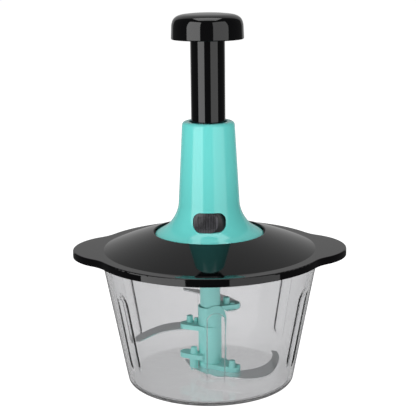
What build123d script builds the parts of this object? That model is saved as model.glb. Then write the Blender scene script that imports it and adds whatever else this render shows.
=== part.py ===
from build123d import *
import os
from math import cos, degrees, radians, sin, sqrt

# Push-down food chopper: a clear bowl, a lid with two ears, a flared housing on the
# lid, and a spring-loaded plunger. A twisted bar in the plunger turns a drive nut, a
# hollow spindle and the blade hub. Millimetres, +Z up, origin at the centre of the
# bowl's underside, -Y is the front with the lock switch.

os.makedirs("parts", exist_ok=True)

# ---------------------------------------------------------------- fits and screws
running_fit = 0.05
easy_gap = 0.3
screw_radius = 1.4
screw_head_radius = 2.7
screw_head_height = 1.8
screw_length = 8.0
screw_count = 4

# ---------------------------------------------------------------- bowl
bowl_foot_radius = 65.7
bowl_rim_radius = 84.5
bowl_height = 102.8
bowl_wall = 2.4
bowl_floor = 3.0
bowl_corner = 3.0
bowl_lip = 2.6
bowl_lip_height = 1.8
flute_count = 6
flute_turn = -87.0
flute_radius = 14.0
flute_depth = 1.6
flute_bottom = 17.0
flute_headroom = 25.3
bowl_pin_radius = 3.0
bowl_pin_length = 21.0
pin_boss_radius = 7.0
pin_boss_height = 1.6

# ---------------------------------------------------------------- blade unit
hub_radius = 9.6
hub_top = 58.6
hub_gap = 1.2
hub_socket_depth = 14.6
hub_well_room = 5.4
hub_bush_wall = 1.6
hub_bush_length = 14.0
hub_bush_flange = 1.8
blade_thickness = 1.2
blade_gap = 0.9
lug_thickness = 3.8
middle_lug_top = 43.5
rear_lug_top = 20.5
front_lug_top = 13.2
# tip and root circle of each lug: distance beyond the hub's wall, angle, radius
upper_lug = ((9.4, 18.4, 5.6), (-7.6, 91.0, 8.3))
middle_lug = ((8.8, 172.0, 5.6), (-8.5, 172.0, 10.4))
rear_lug = ((9.0, 179.4, 5.6), (0.9, 221.9, 4.4))
front_lug = ((13.6, -38.4, 5.0), (-8.7, -38.4, 10.2))
lug_foot_radius = 3.4
# place of each rivet and peg: distance beyond the hub's wall, angle
upper_rivet = (4.1, 17.7)
middle_rivet = (7.4, 163.9)
rear_rivet = (4.4, 199.2)
front_rivet = (13.7, -44.7)
upper_peg = (8.5, 10.0)
middle_peg = (2.7, 157.6)
front_peg = (16.1, -34.4)
rivet_radius = 2.7
rivet_taper = 0.25
rivet_height = 5.4
rivet_shank = 1.6
rivet_foot = 0.8
middle_peg_radius = 1.6
middle_peg_height = 3.4
low_peg_radius = 1.9
low_peg_height = 1.0

# ---------------------------------------------------------------- lid
lid_wall = 2.3
skirt_gap = 1.0
skirt_drop = 2.3
rim_height = 5.6
rim_ledge = 8.2
ear_radius = 42.0
ear_reach = 16.0
ear_blend = 30.0
lid_edge_round = 1.1
dome_rise = 13.4
dome_bulge = 0.5
seat_gap = 1.2
seat_depth = 3.3
seat_lip_round = 0.7
seal_section = 1.5
seal_height = 2.2
seal_drop = 1.7
seal_clearance = 0.2
plug_wall = 2.8
plug_lip = 0.8
plug_lip_height = 1.4
chamber_inset = 4.0
cover_thickness = 2.2
cover_boss_length = 7.8
cover_boss_lip = 1.2
cover_screw_inset = 7.0
housing_screw_inset = 8.5
screw_boss_radius = 3.6

# ---------------------------------------------------------------- housing
housing_radius = 42.0
housing_edge = 1.0
housing_wall = 2.2
collar_wall = 4.1
collar_gap = 1.35
collar_round = 3.0
collar_lip = 2.2
key_room = 3.2
flare_height = 26.3
flare_step = 0.6
# share of the flare's width, share of its height, slope in degrees
flare_shape = ((1.0, 0.072, 32.0), (0.5525, 0.2586, 38.0), (0.2155, 0.5323, 59.0), (0.0, 1.0, 87.0))
rail_thickness = 2.0
key_width = 6.0
window_width = 24.9
window_height = 13.8
window_rise = 8.2
window_corner = 5.9

# ---------------------------------------------------------------- drive train
stroke = 61.0
bar_width = 8.4
bar_thickness = 2.0
bar_lead = 24.4
bar_tail = 4.65
bar_run_out = 23.0
bar_stem_radius = 3.0
bar_clearance = 1.0
spindle_radius = 7.95
bush_wall = 2.4
washer_radius = 13.0
washer_thickness = 0.5
spindle_flange = 2.2
dog_count = 6
dog_width = 3.4
dog_height = 2.0
dog_inner_radius = 8.8
nut_flange = 3.25
nut_barrel_radius = 9.0
nut_plate = 1.2
nut_boss_height = 1.8
nut_pocket_depth = 2.6

# ---------------------------------------------------------------- plunger
tube_radius = 13.05
tube_wall = 2.1
foot_wall = 3.35
foot_height = 8.0
foot_floor = 1.5
key_height = 1.7
guide_bush_wall = 2.8
guide_bush_length = 16.4
knob_rest_gap = 0.7
knob_rim_radius = 27.4
knob_height = 19.5
# share of the rim's radius, share of the knob's height, slope in degrees
knob_shape = (
    (0.987, 0.487, 88.0),
    (0.947, 0.723, 66.0),
    (0.821, 0.887, 26.0),
    (0.507, 0.974, 6.0),
    (0.146, 1.0, 0.0),
)
knob_wall = 2.4
knob_rim_round = 0.9
knob_collar_wall = 1.9
knob_collar_recess = 1.5
knob_collar_drop = 9.0
knob_stop_width = 4.6
plug_length = 15.0
plug_flange = 1.6
bar_seat_depth = 10.0
bar_screw_radius = 1.5
bar_screw_head = 3.2
bar_screw_length = 14.0
spring_wire = 1.4
spring_gap = 1.95
spring_turns = 22
spring_seat_gap = 0.75
spring_seat_thickness = 1.2
spring_spigot = 2.0
clutch_wire = 1.0
clutch_radius = 10.9
clutch_turns = 2
clutch_length = 5.15

# ---------------------------------------------------------------- lock
lock_travel = 11.0
carrier_wall = 2.2
carrier_flange = 3.3
lock_ring_width = 4.0
lock_ring_overlap = 0.9
lock_ring_rise = 10.4
lock_ring_height = 4.4
notch_clearance = 0.7
slider_gap = 0.35
slider_thickness = 2.4
slider_margin = 0.3
rib_count = 13
rib_pitch = 2.4
rib_depth = 0.45
rib_inset = 2.2
post_width = 5.0
post_height = 2.8
post_angle = -3.0
track_border = 3.0
track_thickness = 2.0

# ---------------------------------------------------------------- lid and chamber levels
bowl_lean = (bowl_rim_radius - bowl_foot_radius) / (bowl_height - bowl_corner)
lid_radius = bowl_rim_radius + bowl_lip + skirt_gap + lid_wall
lid_underside = bowl_height - skirt_drop
lid_ring_top = lid_underside + rim_height
dome_foot_radius = lid_radius - rim_ledge
dome_top = lid_ring_top + dome_rise
seat_radius = housing_radius + seat_gap
seat_height = dome_top - seat_depth
chamber_radius = housing_radius - chamber_inset
cover_screw_circle = chamber_radius - cover_screw_inset
housing_screw_circle = chamber_radius - housing_screw_inset
floor_bottom = seat_height - lid_wall
nut_boss_bottom = floor_bottom - nut_boss_height
nut_flange_top = nut_boss_bottom - clutch_length - running_fit
slot_top = nut_flange_top - nut_flange
nut_bottom = slot_top - dog_height
flange_top = nut_bottom - easy_gap
flange_bottom = flange_top - spindle_flange
cover_top = flange_bottom - running_fit - washer_thickness

# ---------------------------------------------------------------- drive bar and what it passes through
bar_reach = sqrt(bar_width**2 + bar_thickness**2) / 2
spindle_bore = bar_reach + bar_clearance
nut_bore_radius = bar_reach + 2 * easy_gap
hub_well_radius = spindle_bore + easy_gap
spindle_hex_flats = 2 * (spindle_radius - running_fit) * cos(radians(30))
bar_bottom = nut_bottom - bar_tail
bar_twist_length = stroke + bar_run_out
hub_well_bottom = bar_bottom - stroke - hub_well_room

# ---------------------------------------------------------------- plunger and housing levels
tube_bore = tube_radius - tube_wall
foot_radius = tube_radius + foot_wall
key_radius = foot_radius + key_height
guide_bush_radius = tube_radius + running_fit + guide_bush_wall
foot_bottom = seat_height + stroke + spring_seat_thickness - foot_floor / 3
bush_low = foot_bottom + foot_height + easy_gap
bush_high = bush_low + guide_bush_length
housing_top = bush_high + collar_lip
knob_bottom = housing_top + stroke + knob_rest_gap
collar_bottom = knob_bottom + knob_collar_recess
tube_top = collar_bottom + knob_collar_drop
neck_foot_radius = key_radius + housing_wall + key_room
neck_top_radius = guide_bush_radius + collar_wall
flare_width = housing_radius - flare_step - neck_foot_radius
flare_marks = [
    (neck_foot_radius + r * flare_width, seat_height + z * flare_height, a) for r, z, a in flare_shape
]
knob_marks = [(r * knob_rim_radius, knob_bottom + z * knob_height, a) for r, z, a in knob_shape]
window_bottom = seat_height + window_rise
window_middle = window_bottom + window_height / 2
spring_radius = tube_bore - spring_gap - spring_wire / 2
lock_ring_inner = key_radius - lock_ring_overlap
lock_ring_radius = lock_ring_inner + lock_ring_width
lock_ring_bottom = seat_height + lock_ring_rise


# ---------------------------------------------------------------- outlines
def polar(reach, angle):
    """Point at a distance and an angle from the axis."""
    return (reach * cos(radians(angle)), reach * sin(radians(angle)))


def inset_marks(marks, inset):
    """Points of an outline moved inwards, square to its slope at each point."""
    return [(r - inset * sin(radians(a)), z - inset * cos(radians(a))) for r, z, a in marks]


def mark_tangents(marks):
    """Directions of an outline at its first and last point."""
    return [(-cos(radians(a)), sin(radians(a))) for r, z, a in (marks[0], marks[-1])]


def beside_hub(place):
    """Point given by its distance beyond the hub's wall and its angle."""
    return polar(hub_radius + place[0], place[1])


def bowl_outside(height):
    """Radius of the bowl's outer wall at a height."""
    return bowl_foot_radius + bowl_lean * (height - bowl_corner)


def dome_height(radius):
    """Height of the dome's straight line at a radius, without its bulge."""
    share = (dome_foot_radius - radius) / (dome_foot_radius - seat_radius)
    return lid_ring_top + (dome_top - lid_ring_top) * share


def neck_radius(height):
    """Radius of the housing's straight neck at a height."""
    foot_radius_there, foot_there, lean = flare_marks[-1]
    share = (height - foot_there) / (housing_top - foot_there)
    return foot_radius_there + (neck_top_radius - foot_radius_there) * share


def flare_shell(outer, inner):
    """Ring that follows the housing's flare between two depths below its surface."""
    outside = inset_marks(flare_marks, outer)
    inside = inset_marks(flare_marks, inner)
    with BuildPart() as shell:
        with BuildSketch(Plane.XZ):
            with BuildLine():
                Spline(*outside, tangents=mark_tangents(flare_marks))
                Spline(*inside, tangents=mark_tangents(flare_marks))
                Line(outside[0], inside[0])
                Line(outside[-1], inside[-1])
            make_face()
        revolve(axis=Axis.Z)
    return shell.part


def coil(mean_radius, wire, bottom, top, turns):
    """Flat-wire coil spring with ground ends, as a twisted slice of its ring."""
    span = 360 * wire * turns / (top - bottom)
    inner = mean_radius - wire / 2
    outer = mean_radius + wire / 2
    with BuildSketch(Plane.XY.offset(bottom)) as slice_face:
        with BuildLine():
            CenterArc((0, 0), outer, -span / 2, span)
            CenterArc((0, 0), inner, -span / 2, span)
            Line(polar(outer, span / 2), polar(inner, span / 2))
            Line(polar(outer, -span / 2), polar(inner, -span / 2))
        make_face()
    return Solid.extrude_linear_with_rotation(
        slice_face.sketch.faces()[0], (0, 0, bottom), (0, 0, top - bottom), 360 * turns
    )


def save(solid, name):
    """Label a finished piece and write its file."""
    solid.label = name
    export_step(solid, f"parts/{name}.step")


# ================================================================ bowl
flute_top = bowl_height - flute_headroom
flute_middle = (flute_top + flute_bottom) / 2
flute_axis = bowl_outside(flute_middle) + flute_radius - flute_depth
flute_end = sqrt(flute_radius**2 - (flute_radius - flute_depth) ** 2)
flute_half = (flute_top - flute_bottom) / 2 - flute_end
flute_plane = Plane((flute_axis, 0, flute_middle), x_dir=(1, 0, -bowl_lean), z_dir=(bowl_lean, 0, 1))

with BuildPart(flute_plane) as flute:
    Cylinder(flute_radius, 2 * flute_half)
    with Locations((0, 0, flute_half), (0, 0, -flute_half)):
        Sphere(flute_radius)

with BuildPart(flute_plane) as flute_skin:
    Cylinder(flute_radius + bowl_wall, 2 * flute_half)
    with Locations((0, 0, flute_half), (0, 0, -flute_half)):
        Sphere(flute_radius + bowl_wall)

# The hollow inside, with a rounded rib standing in behind every flute
with BuildPart() as bowl_space:
    with BuildSketch(Plane.XZ):
        with BuildLine():
            Polyline(
                (0, bowl_floor),
                (bowl_outside(bowl_floor) - bowl_wall, bowl_floor),
                (bowl_outside(2 * bowl_height) - bowl_wall, 2 * bowl_height),
                (0, 2 * bowl_height),
                close=True,
            )
        make_face()
    revolve(axis=Axis.Z)
    fillet(bowl_space.edges().group_by(Axis.Z)[0], bowl_corner)
    with PolarLocations(0, flute_count, flute_turn):
        add(flute_skin.part, mode=Mode.SUBTRACT)

with BuildPart() as bowl:
    with BuildSketch(Plane.XZ):
        with BuildLine():
            Polyline(
                (0, 0),
                (bowl_outside(0), 0),
                (bowl_outside(bowl_height - bowl_lip_height), bowl_height - bowl_lip_height),
                (bowl_rim_radius + bowl_lip, bowl_height - bowl_lip_height),
                (bowl_rim_radius + bowl_lip, bowl_height),
                (0, bowl_height),
                close=True,
            )
        make_face()
    revolve(axis=Axis.Z)
    fillet(bowl.edges().group_by(Axis.Z)[0], bowl_corner)
    with PolarLocations(0, flute_count, flute_turn):
        add(flute.part, mode=Mode.SUBTRACT)
    add(bowl_space.part, mode=Mode.SUBTRACT)
    with BuildSketch(Plane.XY.offset(bowl_floor)):
        Circle(pin_boss_radius)
    extrude(amount=pin_boss_height)
    with BuildSketch(Plane.XY.offset(bowl_floor / 2)):
        Circle(bowl_pin_radius)
    extrude(amount=bowl_floor + pin_boss_height, mode=Mode.SUBTRACT)
save(bowl.part, "bowl")

# Steel pin that the blade hub turns on
with BuildPart() as bowl_pin:
    with BuildSketch(Plane.XY.offset(bowl_floor / 2)):
        Circle(bowl_pin_radius)
    extrude(amount=bowl_pin_length)
    chamfer(bowl_pin.edges().group_by(Axis.Z)[-1], bowl_pin_radius / 3)
save(bowl_pin.part, "bowl_pin")

# ================================================================ blade unit
blade_level = front_lug_top - lug_thickness
hub_bottom = bowl_floor + pin_boss_height + hub_gap
hub_bore = bowl_pin_radius + running_fit + hub_bush_wall
socket_flats = spindle_hex_flats + 2 * easy_gap
# each lug's shape and top, its rivet, and how far the rivet reaches down to its blade
lugs = (
    (upper_lug, hub_top, upper_rivet, lug_thickness),
    (middle_lug, middle_lug_top, middle_rivet, lug_thickness),
    (rear_lug, rear_lug_top, rear_rivet, rear_lug_top - blade_level),
    (front_lug, front_lug_top, front_rivet, lug_thickness),
)
pegs = (
    (upper_peg, hub_top, low_peg_radius, low_peg_height),
    (middle_peg, middle_lug_top, middle_peg_radius, middle_peg_height),
    (front_peg, front_lug_top, low_peg_radius, low_peg_height),
)

with BuildPart() as blade_hub:
    with BuildSketch(Plane.XY.offset(hub_bottom)):
        Circle(hub_radius)
    extrude(amount=hub_top - hub_bottom)
    for circles, top, rivet, drop in lugs:
        with BuildSketch(Plane.XY.offset(top - lug_thickness)):
            for distance, angle, radius in circles:
                with Locations(beside_hub((distance, angle))):
                    Circle(radius)
            make_hull()
        extrude(amount=lug_thickness)
    # foot of the rear lug, standing on the lower blade
    with BuildSketch(Plane.XY.offset(blade_level)):
        with Locations(beside_hub(rear_rivet)):
            Circle(lug_foot_radius)
    extrude(amount=rear_lug_top - lug_thickness - blade_level)
    # hexagon socket for the spindle, well for the bar's end, bore for the bush
    with BuildSketch(Plane.XY.offset(hub_top - hub_socket_depth)):
        RegularPolygon(socket_flats / 2, 6, major_radius=False)
    extrude(amount=hub_socket_depth, mode=Mode.SUBTRACT)
    with BuildSketch(Plane.XY.offset(hub_well_bottom)):
        Circle(hub_well_radius)
    extrude(amount=hub_top - hub_well_bottom, mode=Mode.SUBTRACT)
    with BuildSketch(Plane.XY.offset(hub_bottom)):
        Circle(hub_bore)
    extrude(amount=hub_top - hub_bottom, mode=Mode.SUBTRACT)
    # holes of the rivets and pegs
    for circles, top, rivet, drop in lugs:
        with BuildSketch(Plane.XY.offset(top - drop)):
            with Locations(beside_hub(rivet)):
                Circle(rivet_shank)
        extrude(amount=drop, mode=Mode.SUBTRACT)
    for place, top, radius, height in pegs:
        with BuildSketch(Plane.XY.offset(top - lug_thickness / 2)):
            with Locations(beside_hub(place)):
                Circle(radius)
        extrude(amount=lug_thickness / 2, mode=Mode.SUBTRACT)
save(blade_hub.part, "blade_hub")

# Flanged bush in the foot of the hub, running on the bowl's pin
with BuildPart() as hub_bush:
    with BuildSketch(Plane.XY.offset(bowl_floor + pin_boss_height + easy_gap)):
        Circle(hub_bore + hub_bush_flange)
    extrude(amount=hub_gap - easy_gap)
    with BuildSketch(Plane.XY.offset(hub_bottom)):
        Circle(hub_bore)
    extrude(amount=hub_bush_length)
    with BuildSketch(Plane.XY.offset(bowl_floor)):
        Circle(bowl_pin_radius + running_fit)
    extrude(amount=hub_bush_length + hub_bottom, mode=Mode.SUBTRACT)
save(hub_bush.part, "hub_bush")


def blade(top, outer, inner, rivets, name):
    """Flat blade between two curved edges, with an end at the hub and rivet holes.

    Each point of an edge is its share of the way from the hub's wall to the blade's
    reach, and its angle.
    """
    reach = bowl_outside(top) - bowl_wall - flute_depth - blade_gap
    edges = [
        [polar(hub_radius + share * (reach - hub_radius), angle) for share, angle in edge]
        for edge in (outer, inner)
    ]
    with BuildPart() as plate:
        with BuildSketch(Plane.XY.offset(top - blade_thickness)):
            with BuildLine():
                Spline(*edges[0])
                Spline(*edges[1])
                Line(edges[0][-1], edges[1][0])
                Line(edges[1][-1], edges[0][0])
            make_face()
            Circle(hub_radius + easy_gap, mode=Mode.SUBTRACT)
            with Locations(*[beside_hub(rivet) for rivet in rivets]):
                Circle(rivet_shank, mode=Mode.SUBTRACT)
        extrude(amount=blade_thickness)
    save(plate.part, name)


blade(
    hub_top - lug_thickness,
    (
        (0.069, -12.5),
        (0.171, 0),
        (0.258, 18.4),
        (0.33, 36.1),
        (0.4, 56.6),
        (0.538, 78.3),
        (0.749, 99.6),
        (0.895, 110.8),
    ),
    ((0.814, 112.2), (0.673, 106.3), (0.336, 86.2), (0.181, 67.2), (0.057, 43.5)),
    [upper_rivet],
    "upper_blade",
)
blade(
    middle_lug_top - lug_thickness,
    (
        (0.109, 138.8),
        (0.283, 143.7),
        (0.471, 161.1),
        (0.565, 171.9),
        (0.679, 183.2),
        (0.829, 194.2),
        (0.952, 203.6),
    ),
    ((0.978, 208.3), (0.751, 203), (0.583, 194.9), (0.446, 190), (0.222, 184.8), (0.026, 188.3)),
    [middle_rivet],
    "middle_blade",
)
blade(
    blade_level,
    (
        (0.278, 150.3),
        (0.185, 168.6),
        (0.125, -150.7),
        (0.157, -117),
        (0.256, -90),
        (0.349, -71.8),
        (0.505, -56.3),
        (0.674, -44.5),
        (0.765, -32.9),
        (0.8, -16.9),
        (0.847, 1.1),
        (0.932, 15.9),
        (0.986, 26.1),
    ),
    (
        (0.939, 30.7),
        (0.792, 13.9),
        (0.598, -7.6),
        (0.409, -25.6),
        (0.23, -38.2),
        (0.058, -33.7),
        (-0.098, 153.4),
        (0.061, 141.3),
    ),
    [rear_rivet, front_rivet],
    "lower_blade",
)

# Rivets through lugs and blades, and the plain pegs beside them
with BuildPart() as blade_pins:
    for circles, top, rivet, drop in lugs:
        foot = top - drop - blade_thickness
        with BuildSketch(Plane.XY.offset(foot)):
            with Locations(beside_hub(rivet)):
                Circle(rivet_shank)
        extrude(amount=top - foot)
        with BuildSketch(Plane.XY.offset(foot - rivet_foot)):
            with Locations(beside_hub(rivet)):
                Circle(rivet_radius)
        extrude(amount=rivet_foot)
        with BuildSketch(Plane.XY.offset(top)):
            with Locations(beside_hub(rivet)):
                Circle(rivet_radius)
        with BuildSketch(Plane.XY.offset(top + rivet_height)):
            with Locations(beside_hub(rivet)):
                Circle(rivet_radius - rivet_taper)
        loft()
    for place, top, radius, height in pegs:
        with BuildSketch(Plane.XY.offset(top - lug_thickness / 2)):
            with Locations(beside_hub(place)):
                Circle(radius)
        extrude(amount=height + lug_thickness / 2)
save(blade_pins.part, "blade_pins")

# ================================================================ lid
ear_centre = lid_radius + ear_reach - ear_radius
lid_ceiling = bowl_height + easy_gap
dome_drop = lid_wall * sqrt(1 + ((dome_top - lid_ring_top) / (dome_foot_radius - seat_radius)) ** 2)
dome_middle = (dome_foot_radius + seat_radius) / 2
seal_bottom = lid_underside - seal_drop
seal_outer = bowl_outside(seal_bottom) - bowl_wall - seal_clearance
seal_inner = seal_outer - seal_section
plug_radius = seal_inner + plug_lip
cover_bottom = cover_top - cover_thickness


def lid_plan(inset):
    """Plan of the rim with its two ears, drawn a distance inside its outline."""
    with BuildSketch() as plan:
        Circle(lid_radius - inset)
        with Locations((ear_centre, 0), (-ear_centre, 0)):
            Circle(ear_radius - inset)
        fillet([v for v in plan.vertices() if abs(v.Y) > ear_radius / 2], ear_blend + inset)
    return plan.sketch


with BuildPart() as lid_shell:
    with BuildSketch(Plane.XY.offset(lid_underside)):
        add(lid_plan(0))
    extrude(amount=lid_ring_top - lid_underside)
    fillet(lid_shell.edges().group_by(Axis.Z)[-1], lid_edge_round)
    # dome with its almost straight flank
    with BuildSketch(Plane.XZ):
        with BuildLine():
            Polyline((seat_radius, dome_top), (0, dome_top), (0, lid_underside))
            Polyline((0, lid_underside), (dome_foot_radius, lid_underside), (dome_foot_radius, lid_ring_top))
            ThreePointArc(
                (dome_foot_radius, lid_ring_top),
                (dome_middle, dome_height(dome_middle) + dome_bulge),
                (seat_radius, dome_top),
            )
        make_face()
    revolve(axis=Axis.Z)
    # recess that seats the housing
    with BuildSketch(Plane.XY.offset(seat_height)):
        Circle(seat_radius)
    extrude(amount=dome_top, mode=Mode.SUBTRACT)
    fillet(lid_shell.edges().group_by(Axis.Z)[-1], seat_lip_round)
    # hollow ears and rim, with the round skirt left standing between them
    with BuildSketch(Plane.XY.offset(lid_underside)):
        add(lid_plan(lid_wall))
        Circle(lid_radius, mode=Mode.SUBTRACT)
        Circle(lid_radius - lid_wall)
    extrude(amount=lid_ceiling - lid_underside, mode=Mode.SUBTRACT)
    # hollow under the dome
    with BuildSketch(Plane.XZ):
        with BuildLine():
            Polyline(
                (0, lid_underside),
                (dome_foot_radius, lid_underside),
                (dome_foot_radius, lid_ring_top - dome_drop),
                (seat_radius + lid_wall, dome_height(seat_radius + lid_wall) - dome_drop),
                (seat_radius + lid_wall, floor_bottom),
                (0, floor_bottom),
                close=True,
            )
        make_face()
    revolve(axis=Axis.Z, mode=Mode.SUBTRACT)
    # plug ring with the seal's groove
    plug_bottom = seal_bottom - plug_lip_height
    with BuildSketch(Plane.XY.offset(plug_bottom)):
        Circle(plug_radius)
        Circle(plug_radius - plug_wall, mode=Mode.SUBTRACT)
    extrude(amount=dome_height(plug_radius) - dome_drop / 2 - plug_bottom)
    with BuildSketch(Plane.XY.offset(seal_bottom)):
        Circle(lid_radius - lid_wall)
        Circle(seal_inner, mode=Mode.SUBTRACT)
    extrude(amount=seal_height + running_fit, mode=Mode.SUBTRACT)
    # chamber wall, screw bosses and the nut's bearing boss under the floor
    with BuildSketch(Plane.XY.offset(cover_top)):
        Circle(chamber_radius)
        Circle(chamber_radius - lid_wall, mode=Mode.SUBTRACT)
        with PolarLocations(cover_screw_circle, screw_count):
            Circle(screw_boss_radius)
    extrude(amount=floor_bottom - cover_top + lid_wall / 2)
    with BuildSketch(Plane.XY.offset(nut_boss_bottom)):
        Circle(washer_radius)
    extrude(amount=nut_boss_height + lid_wall / 2)
    with BuildSketch(Plane.XY.offset(nut_boss_bottom)):
        Circle(nut_barrel_radius + running_fit)
    extrude(amount=nut_pocket_depth, mode=Mode.SUBTRACT)
    with BuildSketch(Plane.XY.offset(nut_boss_bottom)):
        Circle(spindle_bore)
    extrude(amount=dome_top, mode=Mode.SUBTRACT)
    # screw holes
    with BuildSketch(Plane.XY.offset(cover_top)):
        with PolarLocations(cover_screw_circle, screw_count):
            Circle(screw_radius)
    extrude(amount=screw_length - cover_thickness + easy_gap, mode=Mode.SUBTRACT)
    with BuildSketch(Plane.XY.offset(floor_bottom)):
        with PolarLocations(housing_screw_circle, screw_count, 180 / screw_count):
            Circle(screw_radius)
    extrude(amount=dome_top, mode=Mode.SUBTRACT)
save(lid_shell.part, "lid_shell")

# Soft ring in the plug's groove
with BuildPart() as lid_seal:
    with BuildSketch(Plane.XY.offset(seal_bottom)):
        Circle(seal_outer)
        Circle(seal_inner, mode=Mode.SUBTRACT)
    extrude(amount=seal_height)
    fillet(lid_seal.faces().sort_by(SortBy.AREA)[-1].edges().filter_by(GeomType.CIRCLE), seal_section / 3)
save(lid_seal.part, "lid_seal")

# ================================================================ drive train
bush_inner = spindle_radius + running_fit
bush_outer = bush_inner + bush_wall
bush_bottom = cover_top - cover_boss_length + cover_boss_lip
spindle_bottom = hub_top - hub_socket_depth + easy_gap
spindle_shoulder = hub_top + easy_gap
barrel_top = nut_boss_bottom + nut_pocket_depth - easy_gap
plate_middle = nut_flange_top + nut_plate

# Disc that closes the chamber, with the spindle's bearing boss
with BuildPart() as gear_cover:
    with BuildSketch(Plane.XY.offset(cover_bottom)):
        Circle(chamber_radius)
    extrude(amount=cover_thickness)
    with BuildSketch(Plane.XY.offset(cover_top - cover_boss_length)):
        Circle(bush_outer + lid_wall)
    extrude(amount=cover_boss_length)
    with BuildSketch(Plane.XY.offset(bush_bottom)):
        Circle(bush_outer)
    extrude(amount=cover_boss_length, mode=Mode.SUBTRACT)
    with BuildSketch(Plane.XY.offset(cover_top - cover_boss_length)):
        Circle(bush_inner + easy_gap)
    extrude(amount=cover_boss_length, mode=Mode.SUBTRACT)
    with BuildSketch(Plane.XY.offset(cover_bottom)):
        with PolarLocations(cover_screw_circle, screw_count):
            Circle(screw_radius)
    extrude(amount=cover_thickness, mode=Mode.SUBTRACT)
save(gear_cover.part, "gear_cover")


def screw_group(head_bottom, circle, start, name):
    """Four equal screws, heads down, on one circle."""
    with BuildPart() as group:
        with BuildSketch(Plane.XY.offset(head_bottom)):
            with PolarLocations(circle, screw_count, start):
                Circle(screw_head_radius)
        extrude(amount=screw_head_height)
        with BuildSketch(Plane.XY.offset(head_bottom)):
            with PolarLocations(circle, screw_count, start):
                RegularPolygon(screw_radius / 2, 6)
        extrude(amount=screw_head_height / 2, mode=Mode.SUBTRACT)
        with BuildSketch(Plane.XY.offset(head_bottom + screw_head_height)):
            with PolarLocations(circle, screw_count, start):
                Circle(screw_radius)
        extrude(amount=screw_length)
    save(group.part, name)


screw_group(cover_bottom - screw_head_height, cover_screw_circle, 0, "cover_screws")
screw_group(floor_bottom - screw_head_height, housing_screw_circle, 180 / screw_count, "housing_screws")

with BuildPart() as spindle_bush:
    with BuildSketch(Plane.XY.offset(bush_bottom)):
        Circle(bush_outer)
        Circle(bush_inner, mode=Mode.SUBTRACT)
    extrude(amount=cover_top - bush_bottom)
save(spindle_bush.part, "spindle_bush")

with BuildPart() as thrust_washer:
    with BuildSketch(Plane.XY.offset(cover_top)):
        Circle(washer_radius)
        Circle(bush_inner + easy_gap, mode=Mode.SUBTRACT)
    extrude(amount=washer_thickness)
save(thrust_washer.part, "thrust_washer")

# Hollow spindle: hexagon end for the hub, round shank, flange with clutch dogs
with BuildPart() as spindle:
    with BuildSketch(Plane.XY.offset(spindle_bottom)):
        RegularPolygon(spindle_hex_flats / 2, 6, major_radius=False)
    extrude(amount=spindle_shoulder - spindle_bottom)
    with BuildSketch(Plane.XY.offset(spindle_shoulder)):
        Circle(spindle_radius)
    extrude(amount=flange_bottom - spindle_shoulder)
    with BuildSketch(Plane.XY.offset(flange_bottom)):
        Circle(washer_radius)
    extrude(amount=spindle_flange)
    with BuildSketch(Plane.XY.offset(flange_top)):
        with PolarLocations((dog_inner_radius + washer_radius) / 2, dog_count):
            Rectangle(washer_radius - dog_inner_radius - easy_gap, dog_width)
    extrude(amount=dog_height)
    with BuildSketch(Plane.XY.offset(spindle_bottom)):
        Circle(spindle_bore)
    extrude(amount=flange_top, mode=Mode.SUBTRACT)
save(spindle.part, "spindle")

# Drive nut: slots for the dogs below, a slotted plate that the bar twists through
bar_turn = -360 / bar_lead
plate_sweep = radians(180 * nut_plate / bar_lead)
slot_width = bar_thickness * cos(plate_sweep) + bar_width * sin(plate_sweep) + 4 * running_fit
slot_length = bar_width + 2 * easy_gap
with BuildPart() as drive_nut:
    with BuildSketch(Plane.XY.offset(nut_bottom)):
        Circle(washer_radius)
    extrude(amount=nut_flange_top - nut_bottom)
    with BuildSketch(Plane.XY.offset(nut_flange_top)):
        Circle(nut_barrel_radius)
    extrude(amount=barrel_top - nut_flange_top)
    with BuildSketch(Plane.XY.offset(nut_bottom)):
        with PolarLocations((dog_inner_radius + washer_radius) / 2, dog_count):
            Rectangle(washer_radius - dog_inner_radius + 2 * easy_gap, dog_width + 2 * easy_gap)
    extrude(amount=dog_height, mode=Mode.SUBTRACT)
    with BuildSketch(Plane.XY.offset(nut_bottom), Plane.XY.offset(plate_middle + nut_plate / 2)):
        Circle(nut_bore_radius)
    extrude(amount=plate_middle - nut_plate / 2 - nut_bottom, mode=Mode.SUBTRACT)
    with BuildSketch(Plane.XY.offset(nut_bottom)):
        with Locations(Rotation(0, 0, bar_turn * (plate_middle - bar_bottom))):
            Rectangle(slot_length, slot_width)
    extrude(amount=barrel_top - nut_bottom, mode=Mode.SUBTRACT)
save(drive_nut.part, "drive_nut")

clutch_foot = nut_flange_top + running_fit
save(coil(clutch_radius, clutch_wire, clutch_foot, nut_boss_bottom, clutch_turns), "clutch_spring")

# ================================================================ housing
lock_ring_top = lock_ring_bottom + lock_ring_height
flare_inside = inset_marks(flare_marks, housing_wall)
rail_inner = foot_radius + easy_gap
rail_place = (key_width + rail_thickness) / 2 + easy_gap

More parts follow.
